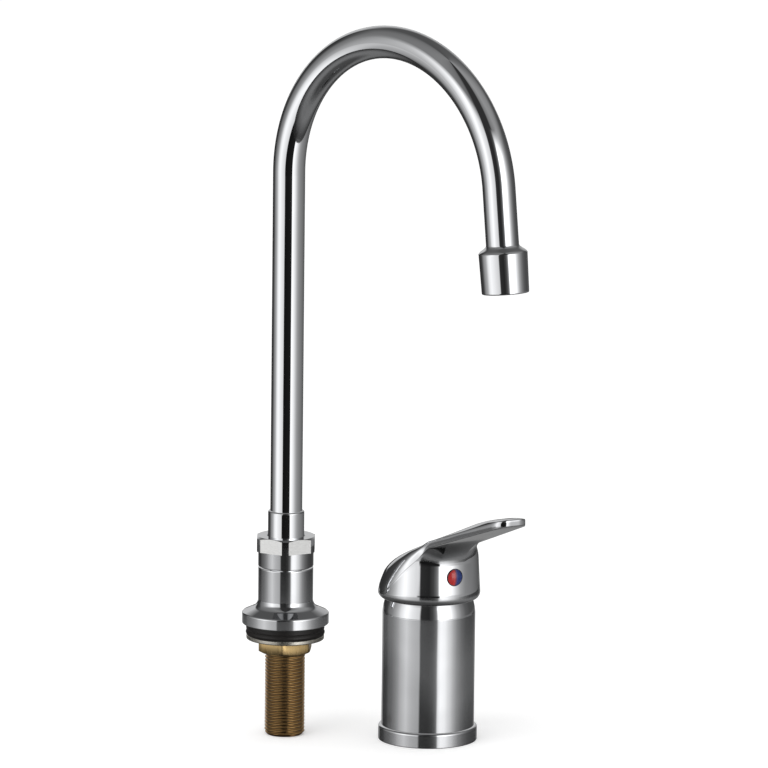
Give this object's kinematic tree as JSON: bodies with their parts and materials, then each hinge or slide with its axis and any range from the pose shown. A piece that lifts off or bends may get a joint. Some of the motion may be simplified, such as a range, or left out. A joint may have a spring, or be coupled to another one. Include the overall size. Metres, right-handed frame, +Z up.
{
  "type": "commercial kitchen faucet",
  "caption": "Chromed deck faucet with a tall swivelling gooseneck spout on a threaded shank and a separate single-lever mixer beside it.",
  "frame": {"origin": "on the spout's swivel axis, at the lower end of the threaded shank, which is level with the underside of the mixer's base ring", "axes": "+Z up along the spout's swivel axis, +X from the spout axis to the mixer axis"},
  "size_m": [0.1533, 0.1343, 0.3766],
  "materials": {
    "chrome": "polished chrome plate",
    "satin_steel": "satin, brushed round the axis",
    "shank_brass": "plain machined brass, slightly tarnished",
    "nut_brass": "plain machined brass, bright",
    "washer_steel": "plain zinc-plated steel",
    "inner_steel": "plain machined steel",
    "black_rubber": "matt black rubber",
    "white_plastic": "matt white moulding",
    "dark_plastic": "matt dark moulding",
    "disc_ceramic": "lapped ceramic",
    "index_rim": "dark glossy rim",
    "index_hot": "glossy red",
    "index_cold": "glossy blue"
  },
  "bodies": {
    "fixed": {"threaded_shank": "shank_brass", "lock_nut": "nut_brass", "lock_washer": "washer_steel", "lower_gasket": "black_rubber", "upper_gasket": "black_rubber", "base_body": "chrome", "coupling_nut": "chrome", "slip_washer": "white_plastic", "mixer_base_ring": "chrome", "mixer_base_seal": "black_rubber", "mixer_body": "satin_steel", "bonnet_dome": "chrome", "clamp_nut": "nut_brass", "cartridge_housing": "white_plastic", "cartridge_base": "dark_plastic", "cartridge_seals": "black_rubber", "fixed_disc": "disc_ceramic"},
    "spout": {"tail_piece": "chrome", "spigot_o_rings": "black_rubber", "spout_tube": "chrome", "outlet_nozzle": "chrome", "aerator_gasket": "black_rubber", "aerator_strainer": "inner_steel", "aerator_housing": "white_plastic"},
    "turner": {"turn_bush": "white_plastic", "pivot_pin": "inner_steel"},
    "slide": {"moving_disc": "disc_ceramic", "disc_carrier": "white_plastic"},
    "lever": {"lever_stem": "inner_steel", "handle": "chrome", "set_screw": "inner_steel", "index_plug": "index_rim", "index_red": "index_hot", "index_blue": "index_cold"}
  },
  "joints": [
    {"name": "spout_swivel", "type": "hinge", "parent": "fixed", "child": "spout", "pos_m": [0, 0, 0.1], "axis": [0, 0, 1], "continuous": true},
    {"name": "lever_turn", "type": "hinge", "parent": "fixed", "child": "turner", "pos_m": [0.0745, 0, 0.066], "axis": [0, 0, 1], "range_deg": [-50, 50]},
    {"name": "lever_lift", "type": "hinge", "parent": "turner", "child": "lever", "pos_m": [0.0745, 0, 0.066], "axis": [-0.8161, -0.5779, 0], "range_deg": [0, 25]},
    {"name": "disc_slide", "type": "slide", "parent": "turner", "child": "slide", "axis": [0.5779, -0.8161, 0], "range_m": [0, 0.004]}
  ],
  "couplings": [
    {"joint": "disc_slide", "follows": "lever_lift", "m_per_rad": 0.009}
  ]
}
